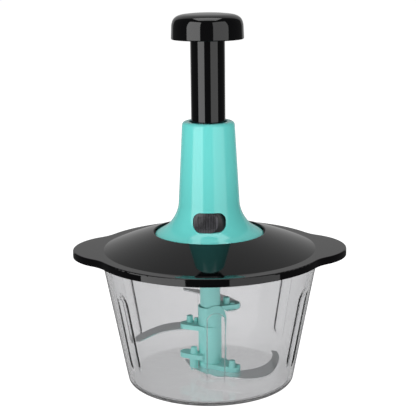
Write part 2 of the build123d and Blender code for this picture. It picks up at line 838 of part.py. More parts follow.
with BuildPart() as housing_space:
    with BuildSketch(Plane.XZ):
        with BuildLine():
            Polyline(
                flare_inside[-1],
                (neck_radius(bush_low) - housing_wall, bush_low),
                (guide_bush_radius, bush_low),
                (guide_bush_radius, bush_high),
                (0, bush_high),
                (0, seat_height - housing_wall),
                (flare_inside[0][0], seat_height - housing_wall),
                flare_inside[0],
            )
            Spline(*flare_inside, tangents=mark_tangents(flare_marks))
        make_face()
    revolve(axis=Axis.Z)
    # rails beside the two keys of the plunger's foot
    with BuildSketch(Plane.XY.offset(lock_ring_top + easy_gap)):
        with GridLocations(2 * housing_radius, 2 * rail_place, 2, 2):
            Rectangle(2 * (housing_radius - rail_inner), rail_thickness)
    extrude(amount=bush_low - lock_ring_top, mode=Mode.SUBTRACT)
    # screw bosses
    with BuildSketch(Plane.XY.offset(seat_height)):
        with PolarLocations(housing_screw_circle, screw_count, 180 / screw_count):
            Circle(screw_boss_radius)
    extrude(amount=housing_radius, mode=Mode.SUBTRACT)

with BuildPart() as housing:
    with BuildSketch(Plane.XZ):
        with BuildLine():
            Polyline(
                (flare_marks[-1][0], flare_marks[-1][1]),
                (neck_top_radius, housing_top),
                (0, housing_top),
                (0, seat_height),
                (housing_radius, seat_height),
                (housing_radius, seat_height + housing_edge),
                (flare_marks[0][0], flare_marks[0][1]),
            )
            Spline(*inset_marks(flare_marks, 0), tangents=mark_tangents(flare_marks))
        make_face()
    revolve(axis=Axis.Z)
    fillet(housing.edges().group_by(Axis.Z)[-1], collar_round)
    add(housing_space.part, mode=Mode.SUBTRACT)
    with BuildSketch(Plane.XY.offset(bush_high)):
        Circle(tube_radius + collar_gap)
    extrude(amount=collar_lip, mode=Mode.SUBTRACT)
    with BuildSketch(Plane.XY.offset(seat_height)):
        with PolarLocations(housing_screw_circle, screw_count, 180 / screw_count):
            Circle(screw_radius)
    extrude(amount=screw_length - lid_wall + easy_gap, mode=Mode.SUBTRACT)
    # window of the lock switch
    with BuildSketch(Plane.XZ):
        with Locations((0, window_middle)):
            RectangleRounded(window_width, window_height, window_corner)
    extrude(amount=housing_radius, mode=Mode.SUBTRACT)
save(housing.part, "housing")

with BuildPart() as guide_bush:
    with BuildSketch(Plane.XY.offset(bush_low)):
        Circle(guide_bush_radius)
        Circle(tube_radius + running_fit, mode=Mode.SUBTRACT)
    extrude(amount=bush_high - bush_low)
save(guide_bush.part, "guide_bush")

# ================================================================ lock
pad_radius, pad_level = flare_marks[2][:2]
carrier_inner = lock_ring_radius - carrier_wall
post_bottom = pad_level - post_height
post_inner = (carrier_inner + lock_ring_radius) / 2 - easy_gap
post_outer = pad_radius - slider_gap - slider_thickness / 2
post_middle = radians(post_angle) * (post_outer + post_inner)
slider_left = slider_gap - window_width / 2
slider_right = window_width / 2 - slider_gap - slider_margin - radians(lock_travel) * pad_radius
slider_middle = (slider_left + slider_right) / 2
slider_height = window_height - 2 * slider_margin
track_depth = slider_gap + slider_thickness + easy_gap
rib_sweep = rib_pitch * (rib_count - 1)
rib_start = degrees(slider_middle / pad_radius) - 90 - rib_sweep / 2

with BuildPart() as rib_grooves:
    with BuildSketch(Plane.XY.offset(window_bottom + slider_margin + rib_inset)):
        with PolarLocations(pad_radius, rib_count, rib_start, rib_sweep, endpoint=True):
            Rectangle(pad_radius, rib_depth)
    extrude(amount=slider_height - 2 * rib_inset)
    add(flare_shell(0, slider_gap + rib_depth), mode=Mode.INTERSECT)

# Switch pad that follows the flare, with a post that turns the lock ring
with BuildPart() as lock_slider:
    with BuildSketch(Plane.XZ):
        with Locations((slider_middle, window_middle)):
            RectangleRounded(slider_right - slider_left, slider_height, window_corner - slider_margin)
    extrude(amount=housing_radius)
    add(flare_shell(slider_gap, slider_gap + slider_thickness), mode=Mode.INTERSECT)
    add(rib_grooves.part, mode=Mode.SUBTRACT)
    with BuildSketch(Plane.XY.offset(post_bottom)):
        with Locations((post_middle, -(post_outer + post_inner) / 2)):
            Rectangle(post_width, post_outer - post_inner)
    extrude(amount=post_height - easy_gap)
save(lock_slider.part, "lock_slider")

with BuildPart() as track_pocket:
    with BuildSketch(Plane.XZ):
        with Locations((0, window_middle)):
            RectangleRounded(window_width + track_border, window_height + track_border / 2, window_corner)
    extrude(amount=housing_radius)
    add(flare_shell(0, track_depth), mode=Mode.INTERSECT)

# Dark plate behind the window, hollowed where the pad slides
with BuildPart() as switch_track:
    with BuildSketch(Plane.XZ):
        with Locations((0, window_middle)):
            RectangleRounded(window_width + 2 * track_border, window_height + 2 * track_border, window_corner)
    extrude(amount=housing_radius)
    add(flare_shell(housing_wall, housing_wall + track_thickness), mode=Mode.INTERSECT)
    add(track_pocket.part, mode=Mode.SUBTRACT)
    with BuildSketch(Plane.XY.offset(post_bottom - easy_gap)):
        with Locations((0, -housing_radius / 2)):
            Rectangle(post_width - 2 * post_middle + 2 * easy_gap, housing_radius)
    extrude(amount=post_height + easy_gap, mode=Mode.SUBTRACT)
save(switch_track.part, "switch_track")

with BuildPart() as lock_ring:
    with BuildSketch(Plane.XY.offset(lock_ring_bottom)):
        Circle(lock_ring_radius)
        Circle(lock_ring_inner, mode=Mode.SUBTRACT)
        Rectangle(2 * (key_radius + notch_clearance), key_width + 2 * notch_clearance, mode=Mode.SUBTRACT)
        with Locations((post_middle, -lock_ring_radius)):
            Rectangle(
                post_width + 2 * running_fit,
                2 * (lock_ring_radius - post_inner + running_fit),
                mode=Mode.SUBTRACT,
            )
    extrude(amount=lock_ring_height)
save(lock_ring.part, "lock_ring")

# Flanged tube that carries the lock ring
with BuildPart() as lock_carrier:
    with BuildSketch(Plane.XY.offset(seat_height)):
        Circle(lock_ring_radius + carrier_flange)
    extrude(amount=foot_floor)
    with BuildSketch(Plane.XY.offset(seat_height)):
        Circle(lock_ring_radius)
    extrude(amount=lock_ring_bottom - easy_gap - seat_height)
    with BuildSketch(Plane.XY.offset(seat_height)):
        Circle(carrier_inner)
    extrude(amount=lock_ring_bottom - seat_height, mode=Mode.SUBTRACT)
save(lock_carrier.part, "lock_carrier")

# ================================================================ plunger
tube_bottom = foot_bottom + foot_floor
plug_bottom_level = tube_top - plug_length
cap_seat = tube_top + plug_flange
knob_inside = inset_marks(knob_marks, knob_wall)

with BuildPart() as plunger_tube:
    with BuildSketch(Plane.XY.offset(tube_bottom)):
        Circle(tube_radius)
        Circle(tube_bore, mode=Mode.SUBTRACT)
    extrude(amount=tube_top - tube_bottom)
save(plunger_tube.part, "plunger_tube")

with BuildPart() as plunger_foot:
    with BuildSketch(Plane.XY.offset(foot_bottom)):
        Circle(key_radius)
        Rectangle(2 * key_radius, key_width, mode=Mode.INTERSECT)
        Circle(foot_radius)
    extrude(amount=foot_height)
    with BuildSketch(Plane.XY.offset(foot_bottom)):
        Circle(tube_bore)
    extrude(amount=foot_floor, mode=Mode.SUBTRACT)
    with BuildSketch(Plane.XY.offset(tube_bottom)):
        Circle(tube_radius)
    extrude(amount=foot_height, mode=Mode.SUBTRACT)
save(plunger_foot.part, "plunger_foot")

# Hollow of the cap, round the collar that grips the tube
with BuildPart() as knob_space:
    with BuildSketch(Plane.XZ):
        with BuildLine():
            Polyline(
                knob_inside[-1],
                (0, knob_inside[-1][1]),
                (0, knob_bottom),
                (knob_rim_radius - knob_wall, knob_bottom),
                knob_inside[0],
            )
            Spline(*knob_inside, tangents=mark_tangents(knob_marks))
        make_face()
    revolve(axis=Axis.Z)
    with BuildSketch(Plane.XY.offset(collar_bottom)):
        Circle(tube_radius + knob_collar_wall)
    extrude(amount=knob_collar_drop + knob_marks[-1][1] - tube_top, mode=Mode.SUBTRACT)

# Domed cap that sits on the plug's flange
with BuildPart() as knob_cap:
    with BuildSketch(Plane.XZ):
        with BuildLine():
            Polyline(
                knob_marks[-1][:2],
                (0, knob_marks[-1][1]),
                (0, knob_bottom),
                (knob_rim_radius, knob_bottom),
                knob_marks[0][:2],
            )
            Spline(*inset_marks(knob_marks, 0), tangents=mark_tangents(knob_marks))
        make_face()
    revolve(axis=Axis.Z)
    fillet(knob_cap.edges().group_by(Axis.Z)[0], knob_rim_round)
    add(knob_space.part, mode=Mode.SUBTRACT)
    with BuildSketch(Plane.XY.offset(collar_bottom)):
        Circle(tube_radius)
    extrude(amount=knob_collar_drop + plug_flange, mode=Mode.SUBTRACT)
    with BuildSketch(Plane.XY.offset(cap_seat)):
        Circle(tube_radius + knob_collar_wall - knob_stop_width)
    extrude(amount=knob_inside[-2][1] - cap_seat, mode=Mode.SUBTRACT)
save(knob_cap.part, "knob_cap")

with BuildPart() as knob_plug:
    with BuildSketch(Plane.XY.offset(plug_bottom_level)):
        Circle(tube_bore)
    extrude(amount=plug_length)
    with BuildSketch(Plane.XY.offset(tube_top)):
        Circle(tube_radius)
    extrude(amount=plug_flange)
    with BuildSketch(Plane.XY.offset(plug_bottom_level)):
        Circle(bar_stem_radius)
    extrude(amount=bar_seat_depth, mode=Mode.SUBTRACT)
    with BuildSketch(Plane.XY.offset(plug_bottom_level)):
        Circle(bar_screw_radius)
    extrude(amount=plug_length + plug_flange, mode=Mode.SUBTRACT)
save(knob_plug.part, "knob_plug")

# Screw that pulls the bar up into the plug
with BuildPart() as bar_screw:
    with BuildSketch(Plane.XY.offset(cap_seat)):
        Circle(bar_screw_head)
    extrude(amount=screw_head_height)
    with BuildSketch(Plane.XY.offset(cap_seat + screw_head_height / 2)):
        RegularPolygon(bar_screw_radius, 6)
    extrude(amount=screw_head_height, mode=Mode.SUBTRACT)
    with BuildSketch(Plane.XY.offset(cap_seat - bar_screw_length)):
        Circle(bar_screw_radius)
    extrude(amount=bar_screw_length)
save(bar_screw.part, "bar_screw")

# Twisted drive bar with a round stem
with BuildSketch(Plane.XY.offset(bar_bottom)) as bar_section:
    Rectangle(bar_width, bar_thickness)
twist = Solid.extrude_linear_with_rotation(
    bar_section.sketch.faces()[0], (0, 0, bar_bottom), (0, 0, bar_twist_length), bar_turn * bar_twist_length
)
with BuildPart() as spiral_bar:
    add(twist)
    with BuildSketch(Plane.XY.offset(bar_bottom + bar_twist_length)):
        Circle(bar_stem_radius)
    extrude(amount=plug_bottom_level + bar_seat_depth - bar_bottom - bar_twist_length)
    with BuildSketch(Plane.XY.offset(cap_seat - bar_screw_length)):
        Circle(bar_screw_radius)
    extrude(amount=bar_screw_length, mode=Mode.SUBTRACT)
save(spiral_bar.part, "spiral_bar")

# ================================================================ springs
spring_bottom = seat_height + spring_seat_thickness
save(coil(spring_radius, spring_wire, spring_bottom, plug_bottom_level, spring_turns), "return_spring")

with BuildPart() as spring_seat:
    with BuildSketch(Plane.XY.offset(seat_height)):
        Circle(tube_bore - spring_seat_gap)
    extrude(amount=spring_seat_thickness)
    with BuildSketch(Plane.XY.offset(spring_bottom)):
        Circle(spring_radius - spring_wire / 2 - easy_gap)
    extrude(amount=spring_spigot)
    with BuildSketch(Plane.XY.offset(seat_height)):
        Circle(spindle_bore)
    extrude(amount=spring_seat_thickness + spring_spigot, mode=Mode.SUBTRACT)
save(spring_seat.part, "spring_seat")
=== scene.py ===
from math import asin, atan, atan2, cos, pi, radians, sin, sqrt, tan

import bmesh
import bpy
from mathutils import Matrix, Vector
from mathutils.geometry import interpolate_bezier


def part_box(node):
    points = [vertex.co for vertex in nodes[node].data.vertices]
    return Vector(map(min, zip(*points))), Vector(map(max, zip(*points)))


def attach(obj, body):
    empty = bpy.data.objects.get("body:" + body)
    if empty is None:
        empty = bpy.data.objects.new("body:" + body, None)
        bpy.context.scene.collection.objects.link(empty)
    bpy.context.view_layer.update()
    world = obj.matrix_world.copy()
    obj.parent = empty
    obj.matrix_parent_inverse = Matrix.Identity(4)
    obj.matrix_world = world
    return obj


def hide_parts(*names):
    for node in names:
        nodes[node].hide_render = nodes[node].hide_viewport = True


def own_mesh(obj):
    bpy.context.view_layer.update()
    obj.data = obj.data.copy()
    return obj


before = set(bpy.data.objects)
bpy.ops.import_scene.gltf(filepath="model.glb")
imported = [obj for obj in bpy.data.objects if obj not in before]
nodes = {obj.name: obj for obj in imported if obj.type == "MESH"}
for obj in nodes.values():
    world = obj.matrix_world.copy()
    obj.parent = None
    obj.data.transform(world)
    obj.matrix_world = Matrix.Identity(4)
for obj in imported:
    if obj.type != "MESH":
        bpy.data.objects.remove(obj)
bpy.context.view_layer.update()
MM = 0.001

# ---------------------------------------------------------------------------
# Bowl. Clear, slightly smoky SAN, injection moulded in one shot, with six
# hollow flutes pressed in from outside that stand out as ribs inside.
# It stands on its flat floor and carries the lid on a turned-out lip.
# ---------------------------------------------------------------------------
BOWL_FOOT_RADIUS = 65.7
BOWL_FOOT_FLAT = 58.0
BOWL_RIM_RADIUS = 84.5
BOWL_HEIGHT = 102.8
BOWL_WALL = 2.4
BOWL_FLOOR = 3.0
BOWL_CORNER = 3.0
BOWL_FLOOR_CORNER = 0.8
FLOOR_BEAD = 0.4
BOWL_LIP = 2.6
BOWL_LIP_HEIGHT = 1.8
BOWL_LIP_ROUND = 0.4
BOWL_MOUTH_ROUND = 0.5
BOWL_LEAN = (BOWL_RIM_RADIUS - BOWL_FOOT_RADIUS) / (BOWL_HEIGHT - BOWL_CORNER)
PIN_BOSS = (7.0, 4.6)
PIN_RADIUS = 3.0
PIN_HOLE_FLOOR = BOWL_FLOOR / 2
FLUTE_COUNT = 6
FLUTE_TURN = radians(-87)
FLUTE_RADIUS = 14.0
FLUTE_DEPTH = 1.6
FLUTE_HALF_WIDTH = sqrt(FLUTE_RADIUS ** 2 - (FLUTE_RADIUS - FLUTE_DEPTH) ** 2)
FLUTE_ENDS = (17.0, 77.5)
FLUTE_MARGIN = 8.0
FLUTE_LIP = 0.32
FLUTE_LIP_FADE = 12.0
FLUTE_LIP_THIN = 0.1
BOWL_STEPS = 576
BOWL_ROWS = 42
SAN_TINTS = ("#e6e6e7", "#eaeaeb")
SAN_SMOKE = "#272727"
SAN_DENSITY = 50.0
SAN_IOR = 1.3
SAN_GLOSS = 0.9


def linear(code):
    """sRGB hex to the linear colour that shaders take."""
    parts = [int(code[i:i + 2], 16) / 255 for i in (1, 3, 5)]
    return [p / 12.92 if p <= 0.04045 else ((p + 0.055) / 1.055) ** 2.4 for p in parts] + [1.0]


def add_node(material, kind, links=None, **settings):
    """Adds a node, sets its fields and sockets, and joins what comes in."""
    node = material.node_tree.nodes.new(kind)
    for key, value in settings.items():
        if hasattr(node, key) and key not in node.inputs:
            setattr(node, key, value)
        else:
            node.inputs[key.replace("_", " ")].default_value = value
    for socket, source in (links or {}).items():
        material.node_tree.links.new(source, node.inputs[socket])
    return node


def new_material(name):
    """An empty node material with its output and a Principled shader."""
    material = bpy.data.materials.new(name)
    material.use_nodes = True
    shader = material.node_tree.nodes["Principled BSDF"]
    return material, shader


def finished(name, mesh, material, body, replaced=(), angle=30):
    """Turns a bmesh into a piece on its body, smooth but for sharp corners."""
    data = bpy.data.meshes.new(name)
    bmesh.ops.remove_doubles(mesh, verts=mesh.verts, dist=1e-7)
    bmesh.ops.recalc_face_normals(mesh, faces=mesh.faces)
    mesh.to_mesh(data)
    mesh.free()
    piece = bpy.data.objects.new(name, data)
    bpy.context.scene.collection.objects.link(piece)
    for face in data.polygons:
        face.use_smooth = True
    data.set_sharp_from_angle(angle=radians(angle))
    data.materials.append(material)
    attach(piece, body)
    for node in replaced:
        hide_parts(node)
    return piece


def turned(profile, steps, closed=False, cuts=None):
    """Spins a profile of (radius, height) in mm round the axis."""
    mesh = bmesh.new()
    points = [mesh.verts.new((r * MM, 0, z * MM)) for r, z in profile]
    edges = [mesh.edges.new(pair) for pair in zip(points, points[1:])]
    if closed:
        edges.append(mesh.edges.new((points[-1], points[0])))
    for index, count in (cuts or {}).items():
        bmesh.ops.subdivide_edges(mesh, edges=[edges[index]], cuts=count)
    bmesh.ops.spin(
        mesh,
        geom=mesh.verts[:] + mesh.edges[:],
        axis=(0, 0, 1),
        cent=(0, 0, 0),
        angle=2 * pi,
        steps=steps,
        use_merge=True,
    )
    bmesh.ops.remove_doubles(mesh, verts=mesh.verts, dist=1e-7)
    return mesh


def corner(centre, radius, start, end, count=5):
    """Points of a rounded corner of a profile, angles in degrees."""
    turns = [radians(start + (end - start) * i / count) for i in range(count + 1)]
    return [(centre[0] + radius * cos(t), centre[1] + radius * sin(t)) for t in turns]


def clear_san():
    """Clear SAN, tool polished: glassy, with a smoke tint that deepens in thick
    walls and faint flow marks about 70 mm across. Light that falls through it
    onto the parts inside goes straight."""
    material, shader = new_material("clear_san")
    place = add_node(material, "ShaderNodeTexCoord").outputs["Object"]
    flow = add_node(material, "ShaderNodeTexNoise", {"Vector": place}, Scale=14.0, Detail=2.0)
    tint = add_node(material, "ShaderNodeMix", {"Factor": flow.outputs["Fac"]}, data_type="RGBA")
    tint.inputs[6].default_value = linear(SAN_TINTS[0])
    tint.inputs[7].default_value = linear(SAN_TINTS[1])
    material.node_tree.links.new(tint.outputs[2], shader.inputs["Base Color"])
    shader.inputs["Transmission Weight"].default_value = 1.0
    shader.inputs["Roughness"].default_value = 0.0
    shader.inputs["IOR"].default_value = SAN_IOR
    shader.inputs["Specular IOR Level"].default_value = SAN_GLOSS
    rays = add_node(material, "ShaderNodeLightPath")
    soft_rays = add_node(
        material,
        "ShaderNodeMath",
        {0: rays.outputs["Is Shadow Ray"], 1: rays.outputs["Is Diffuse Ray"]},
        operation="MAXIMUM",
    )
    straight = add_node(material, "ShaderNodeBsdfTransparent")
    both = add_node(
        material,
        "ShaderNodeMixShader",
        {0: soft_rays.outputs[0], 1: shader.outputs["BSDF"], 2: straight.outputs["BSDF"]},
    )
    smoke = add_node(
        material, "ShaderNodeVolumeAbsorption", Color=linear(SAN_SMOKE), Density=SAN_DENSITY
    )
    output = material.node_tree.nodes["Material Output"]
    material.node_tree.links.new(both.outputs["Shader"], output.inputs["Surface"])
    material.node_tree.links.new(smoke.outputs["Volume"], output.inputs["Volume"])
    return material


def bowl_outside(height):
    """Radius of the bowl's outer wall at a height."""
    return BOWL_FOOT_RADIUS + BOWL_LEAN * (height - BOWL_CORNER)


def flute_face(across, height, radius):
    """Where a flute's round face stands, out from the axis, or None beside it."""
    middle = (FLUTE_ENDS[0] + FLUTE_ENDS[1]) / 2
    axis = bowl_outside(middle) + FLUTE_RADIUS - FLUTE_DEPTH
    half = (FLUTE_ENDS[1] - FLUTE_ENDS[0]) / 2 - FLUTE_HALF_WIDTH
    slope = cos(atan(BOWL_LEAN))
    along = max(-half * slope, min(half * slope, height - middle))
    beyond = height - middle - along
    if across ** 2 + beyond ** 2 >= radius ** 2:
        return None
    stretch = slope if beyond == 0 else 1
    return axis + BOWL_LEAN * (along if beyond else height - middle) - sqrt(
        radius ** 2 - across ** 2 - beyond ** 2
    ) / stretch


def press_flutes(mesh):
    """Presses the flutes into the outer wall and the ribs into the hollow."""
    for vert in mesh.verts:
        spread, height = vert.co.xy.length / MM, vert.co.z / MM
        if not FLUTE_ENDS[0] - FLUTE_MARGIN < height < FLUTE_ENDS[1] + FLUTE_MARGIN:
            continue
        outer = spread > bowl_outside(height) - BOWL_WALL / 2
        turn = atan2(vert.co.y, vert.co.x) - FLUTE_TURN
        part = 2 * pi / FLUTE_COUNT
        turn -= part * round(turn / part)
        face = flute_face(spread * sin(turn), height, FLUTE_RADIUS + (0 if outer else BOWL_WALL))
        if face is None or spread * cos(turn) <= face:
            continue
        drop = (spread * cos(turn) - face) * MM
        heading = atan2(vert.co.y, vert.co.x) - turn
        vert.co.x -= drop * cos(heading)
        vert.co.y -= drop * sin(heading)


def bowl_section():
    """Half section of the bowl, and which of its edges are the long walls."""
    under = BOWL_HEIGHT - BOWL_LIP_HEIGHT
    rim = BOWL_RIM_RADIUS + BOWL_LIP - BOWL_LIP_ROUND
    mouth = BOWL_RIM_RADIUS - BOWL_WALL + BOWL_MOUTH_ROUND
    foot = bowl_outside(BOWL_CORNER) - BOWL_CORNER
    floor = bowl_outside(BOWL_FLOOR + BOWL_FLOOR_CORNER) - BOWL_WALL - BOWL_FLOOR_CORNER
    line = [(0, 0), (BOWL_FOOT_FLAT, 0)]
    line += corner((foot, BOWL_CORNER), BOWL_CORNER, -90, -10, 7)
    outer_wall = len(line) - 1
    line += [(bowl_outside(under), under)]
    line += corner((rim, under + BOWL_LIP_ROUND), BOWL_LIP_ROUND, -90, 0, 3)
    line += corner((rim, BOWL_HEIGHT - BOWL_LIP_ROUND), BOWL_LIP_ROUND, 0, 90, 3)
    line += corner((mouth, BOWL_HEIGHT - BOWL_LIP_ROUND), BOWL_LIP_ROUND, 90, 180, 3)
    inner_wall = len(line) - 1
    line += corner((floor, BOWL_FLOOR + BOWL_FLOOR_CORNER), BOWL_FLOOR_CORNER, 10, -90, 7)
    line += corner((floor - 2 * FLOOR_BEAD, BOWL_FLOOR), FLOOR_BEAD, 0, 180, 6)
    line += [(PIN_BOSS[0], BOWL_FLOOR), PIN_BOSS, (PIN_RADIUS, PIN_BOSS[1])]
    line += [(PIN_RADIUS, PIN_HOLE_FLOOR), (0, PIN_HOLE_FLOOR)]
    return line, (outer_wall, inner_wall)


bowl_line, bowl_walls = bowl_section()
bowl_mesh = turned(bowl_line, BOWL_STEPS, cuts={wall: BOWL_ROWS for wall in bowl_walls})
press_flutes(bowl_mesh)
san = clear_san()
finished("bowl_shell", bowl_mesh, san, "bowl", ["bowl"], angle=40)


def flute_lips():
    """The fine rounded lip round each flute, half sunk in the wall and
    thinning out at its lower end."""
    rise_steps, arch_steps = 12, 24
    curve = bpy.data.curves.new("flute_lips", "CURVE")
    curve.dimensions = "3D"
    curve.bevel_depth = FLUTE_LIP * MM
    curve.bevel_resolution = 2
    low, high = FLUTE_ENDS[0], FLUTE_ENDS[1] - FLUTE_HALF_WIDTH
    rise = [low + (high - low) * i / rise_steps for i in range(rise_steps)]
    outline = [(FLUTE_HALF_WIDTH, z) for z in rise]
    outline += corner((0, high), FLUTE_HALF_WIDTH, 0, 180, arch_steps)
    outline += [(-FLUTE_HALF_WIDTH, z) for z in reversed(rise)]
    for number in range(FLUTE_COUNT):
        line = curve.splines.new("POLY")
        line.points.add(len(outline) - 1)
        for point, (across, height) in zip(line.points, outline):
            wall = bowl_outside(height) - FLUTE_LIP / 2
            heading = FLUTE_TURN + 2 * pi * number / FLUTE_COUNT + asin(across / wall)
            point.co = (wall * cos(heading) * MM, wall * sin(heading) * MM, height * MM, 1)
            point.radius = min(1.0, FLUTE_LIP_THIN + (height - low) / FLUTE_LIP_FADE)
    holder = bpy.data.objects.new("flute_lips_line", curve)
    bpy.context.scene.collection.objects.link(holder)
    graph = bpy.context.evaluated_depsgraph_get()
    data = bpy.data.meshes.new_from_object(holder.evaluated_get(graph))
    mesh = bmesh.new()
    mesh.from_mesh(data)
    bpy.data.objects.remove(holder)
    bpy.data.meshes.remove(data)
    return mesh


finished("flute_lips", flute_lips(), san, "bowl", ["bowl"], angle=60)


# ---------------------------------------------------------------------------
# Bowl pin and other turned steel. Bright mild steel, turned, so fine rings
# run round it. The pin stands in the boss of the bowl's floor.
# ---------------------------------------------------------------------------
TURNING_PITCH = 0.7854


def wave_scale(pitch):
    """Scale of a wave texture whose bands, 20 to every 2 pi, are a pitch in mm apart."""
    return 2 * pi / (20 * pitch * MM)


def turned_steel():
    """Turned steel: fine rings drawn about 0.8 mm apart, coarser than they are,
    so that they show as a soft banding."""
    material, shader = new_material("turned_steel")
    place = add_node(material, "ShaderNodeTexCoord").outputs["Object"]
    rings = add_node(
        material,
        "ShaderNodeTexWave",
        {"Vector": place},
        bands_direction="Z",
        Scale=wave_scale(TURNING_PITCH),
        Distortion=0.4,
    )
    rough = add_node(
        material, "ShaderNodeMapRange", {"Value": rings.outputs["Fac"]}, To_Min=0.18, To_Max=0.32
    )
    material.node_tree.links.new(rough.outputs["Result"], shader.inputs["Roughness"])
    shader.inputs["Base Color"].default_value = linear("#c3c4c6")
    shader.inputs["Metallic"].default_value = 1.0
    return material


def dress(node, material):
    """Gives a CAD node's object one material in all its slots."""
    piece = nodes[node]
    if not piece.material_slots:
        piece.data.materials.append(material)
    for place in piece.material_slots:
        place.material = material


steel = turned_steel()
for name in ("bowl_pin", "cover_screws", "housing_screws", "bar_screw", "spiral_bar"):
    dress(name, steel)


# ---------------------------------------------------------------------------
# Blade hub. Turquoise ABS moulding: a round sleeve with four flat lugs, each
# shaped as a teardrop that runs off the sleeve. It turns on the bowl's pin.
# ---------------------------------------------------------------------------
HUB_RADIUS = 9.6
HUB_FOOT = 5.8
HUB_TOP = 58.6
HUB_HOLLOW = 8.0
HUB_STEPS = 96
HUB_EDGE = 0.5
LUG_THICKNESS = 3.8
LUG_EDGE = 0.7
LUG_STEPS = 64
LUG_SINK = 0.05
# top of each lug, then distance, angle and radius of its tip and of its root
LUGS = (
    (58.6, (19.0, 18.4, 5.6), (2.0, 91.0, 8.3)),
    (43.5, (18.4, 172.0, 5.6), (1.1, 172.0, 10.4)),
    (20.5, (18.6, 179.4, 5.6), (10.5, 221.9, 4.4)),
    (13.2, (23.2, -38.4, 5.0), (0.9, -38.4, 10.2)),
)
# distance, angle and radius of the post under the rear lug
REAR_FOOT = (14.0, 199.2, 3.4)
REAR_FOOT_STEPS = 48
BLADE_LEVEL = 9.4


def moulded(name, colour, deep, rough, bump, ior=1.5):
    """Injection-moulded ABS: an even colour with slight clouds about 30 mm
    across, a polished tool's fine orange peel about a millimetre across, and
    patchy gloss."""
    material, shader = new_material(name)
    place = add_node(material, "ShaderNodeTexCoord").outputs["Object"]
    clouds = add_node(material, "ShaderNodeTexNoise", {"Vector": place}, Scale=35.0, Detail=3.0)
    blend = add_node(material, "ShaderNodeMix", {"Factor": clouds.outputs["Fac"]}, data_type="RGBA")
    blend.inputs[6].default_value = linear(deep)
    blend.inputs[7].default_value = linear(colour)
    material.node_tree.links.new(blend.outputs[2], shader.inputs["Base Color"])
    gloss = add_node(
        material,
        "ShaderNodeMapRange",
        {"Value": clouds.outputs["Fac"]},
        To_Min=rough[0],
        To_Max=rough[1],
    )
    material.node_tree.links.new(gloss.outputs["Result"], shader.inputs["Roughness"])
    peel = add_node(material, "ShaderNodeTexNoise", {"Vector": place}, Scale=900.0, Detail=1.0)
    relief = add_node(
        material, "ShaderNodeBump", {"Height": peel.outputs["Fac"]}, Strength=bump, Distance=0.0001
    )
    material.node_tree.links.new(relief.outputs["Normal"], shader.inputs["Normal"])
    shader.inputs["IOR"].default_value = ior
    return material


def place_at(reach, angle):
    """Place at a distance from the axis and an angle in degrees."""
    return reach * cos(radians(angle)), reach * sin(radians(angle))


def soften(piece, width, segments=3):
    """Rounds a piece's sharp edges, as a mould does."""
    bevel = piece.modifiers.new("edges", "BEVEL")
    bevel.width = width * MM
    bevel.segments = segments
    bevel.limit_method = "ANGLE"
    bevel.angle_limit = radians(40)
    bevel.harden_normals = True


def cutter_of(mesh, name):
    """Makes a closed bmesh an object to cut with."""
    data = bpy.data.meshes.new(name)
    bmesh.ops.recalc_face_normals(mesh, faces=mesh.faces)
    mesh.to_mesh(data)
    mesh.free()
    cutter = bpy.data.objects.new(name, data)
    bpy.context.scene.collection.objects.link(cutter)
    return cutter


def carve(piece, cutter):
    """Cuts one mesh out of a piece for good, and removes the cutter."""
    cut = piece.modifiers.new("cut", "BOOLEAN")
    cut.operation = "DIFFERENCE"
    cut.solver = "EXACT"
    cut.object = cutter
    graph = bpy.context.evaluated_depsgraph_get()
    old = piece.data
    piece.data = bpy.data.meshes.new_from_object(piece.evaluated_get(graph))
    piece.modifiers.clear()
    bpy.data.meshes.remove(old)
    bpy.data.objects.remove(cutter)
    piece.data.set_sharp_from_angle(angle=radians(30))


def upright_rod(place, radius, low, high, steps):
    """A round rod between two heights."""
    mesh = bmesh.new()
    bmesh.ops.create_cone(
        mesh,
        cap_ends=True,
        segments=steps,
        radius1=radius * MM,
        radius2=radius * MM,
        depth=(high - low) * MM,
        matrix=Matrix.Translation(Vector((*place, (low + high) / 2)) * MM),
    )
    return mesh


def keep_hull(mesh):
    """Closes loose rings of points into one convex body."""
    hull = bmesh.ops.convex_hull(mesh, input=mesh.verts)
    bmesh.ops.delete(mesh, geom=hull["geom_interior"], context="VERTS")


hub_abs = moulded("hub_abs", "#a2efe9", "#9ceae4", (0.3, 0.4), 0.03)
hub_mesh = turned(
    [(HUB_RADIUS, HUB_FOOT), (HUB_RADIUS, HUB_TOP), (HUB_HOLLOW, HUB_TOP), (HUB_HOLLOW, HUB_FOOT)],
    HUB_STEPS,
    closed=True,
)
hub = finished("hub_sleeve", hub_mesh, hub_abs, "blade_unit", ["blade_hub"])
soften(hub, HUB_EDGE)
for number, (top, tip, root) in enumerate(LUGS):
    lug_mesh = bmesh.new()
    for level in (top - LUG_THICKNESS, top - (LUG_SINK if top == HUB_TOP else 0)):
        for distance, angle, radius in (tip, root):
            spot = Matrix.Translation(Vector((*place_at(distance, angle), level)) * MM)
            bmesh.ops.create_circle(
                lug_mesh, cap_ends=False, radius=radius * MM, segments=LUG_STEPS, matrix=spot
            )
    keep_hull(lug_mesh)
    bmesh.ops.dissolve_limit(
        lug_mesh, angle_limit=radians(1), verts=lug_mesh.verts, edges=lug_mesh.edges
    )
    lug = finished(f"hub_lug_{number}", lug_mesh, hub_abs, "blade_unit", ["blade_hub"])
    bore = upright_rod(
        (0, 0), (HUB_RADIUS + HUB_HOLLOW) / 2, top - 2 * LUG_THICKNESS, top + LUG_THICKNESS, HUB_STEPS
    )
    carve(lug, cutter_of(bore, "hub_bore"))
    soften(lug, LUG_EDGE)
foot_mesh = upright_rod(
    place_at(*REAR_FOOT[:2]), REAR_FOOT[2], BLADE_LEVEL, LUGS[2][0] - LUG_THICKNESS, REAR_FOOT_STEPS
)
finished("hub_lug_foot", foot_mesh, hub_abs, "blade_unit", ["blade_hub"])


